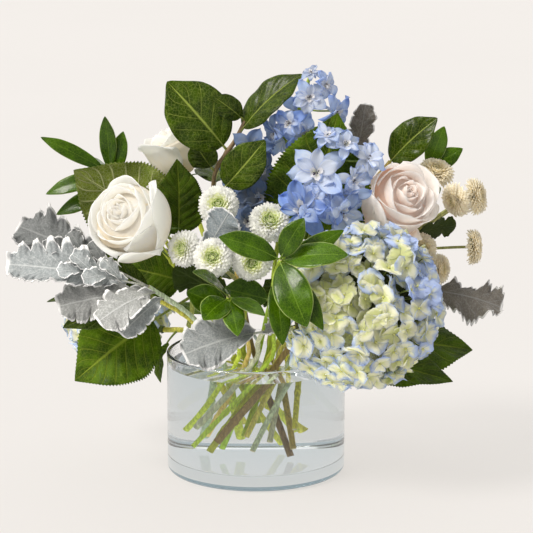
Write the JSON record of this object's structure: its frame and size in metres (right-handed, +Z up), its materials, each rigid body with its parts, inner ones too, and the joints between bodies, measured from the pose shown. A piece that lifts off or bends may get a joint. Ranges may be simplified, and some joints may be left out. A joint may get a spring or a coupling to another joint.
{
  "type": "flower arrangement in vase",
  "caption": "Mixed bouquet with a large blue and cream hydrangea head, roses, button chrysanthemums, delphinium and leafy stems, standing in water in a clear glass cylinder vase.",
  "frame": {"origin": "centre of the vase's foot, on the surface it stands on", "axes": "+Z up, +X to the bouquet's right as seen from the front, -Y towards the front"},
  "size_m": [0.4143, 0.2747, 0.3458],
  "materials": {
    "glass": "clear polished glass",
    "water": "clear water",
    "hydrangea_petal": "soft matt petals, cream at the heart and pale blue at the edge",
    "white_petal": "soft satin petals",
    "blush_petal": "soft satin petals",
    "button_petal": "soft matt petals, lime at the centre",
    "delphinium": "thin satin petals on green stalks",
    "hydrangea_leaf": "matt veined leaves on green stalks",
    "green_stem": "smooth green stems",
    "salal_leaf": "leathery glossy leaves",
    "ruscus_leaf": "glossy leaves",
    "miller_leaf": "felted grey leaves"
  },
  "bodies": {
    "root": {"vase": "glass", "water": "water", "delphinium_back": "delphinium", "delphinium_front": "delphinium", "delphinium_tall": "delphinium", "hydrangea_head_left": "hydrangea_petal", "hydrangea_head_right": "hydrangea_petal", "hydrangea_stem_left": "hydrangea_leaf", "hydrangea_stem_right": "hydrangea_leaf", "miller_centre": "miller_leaf", "miller_left": "miller_leaf", "miller_right": "miller_leaf", "miller_top": "miller_leaf", "mum_head_left_1": "button_petal", "mum_head_left_2": "button_petal", "mum_head_left_3": "button_petal", "mum_head_left_4": "button_petal", "mum_head_left_5": "button_petal", "mum_head_right_1": "button_petal", "mum_head_right_2": "button_petal", "mum_head_right_3": "button_petal", "mum_head_right_4": "button_petal", "mum_head_right_5": "button_petal", "mum_head_right_6": "button_petal", "mum_stem_left": "green_stem", "mum_stem_right": "green_stem", "rose_bloom_back": "white_petal", "rose_bloom_left": "white_petal", "rose_bloom_right": "blush_petal", "rose_stem_back": "green_stem", "rose_stem_left": "green_stem", "rose_stem_right": "green_stem", "ruscus_centre": "ruscus_leaf", "ruscus_front": "ruscus_leaf", "ruscus_left": "ruscus_leaf", "ruscus_right": "ruscus_leaf", "salal_left": "salal_leaf", "salal_right": "salal_leaf", "salal_top": "salal_leaf"}
  },
  "joints": []
}
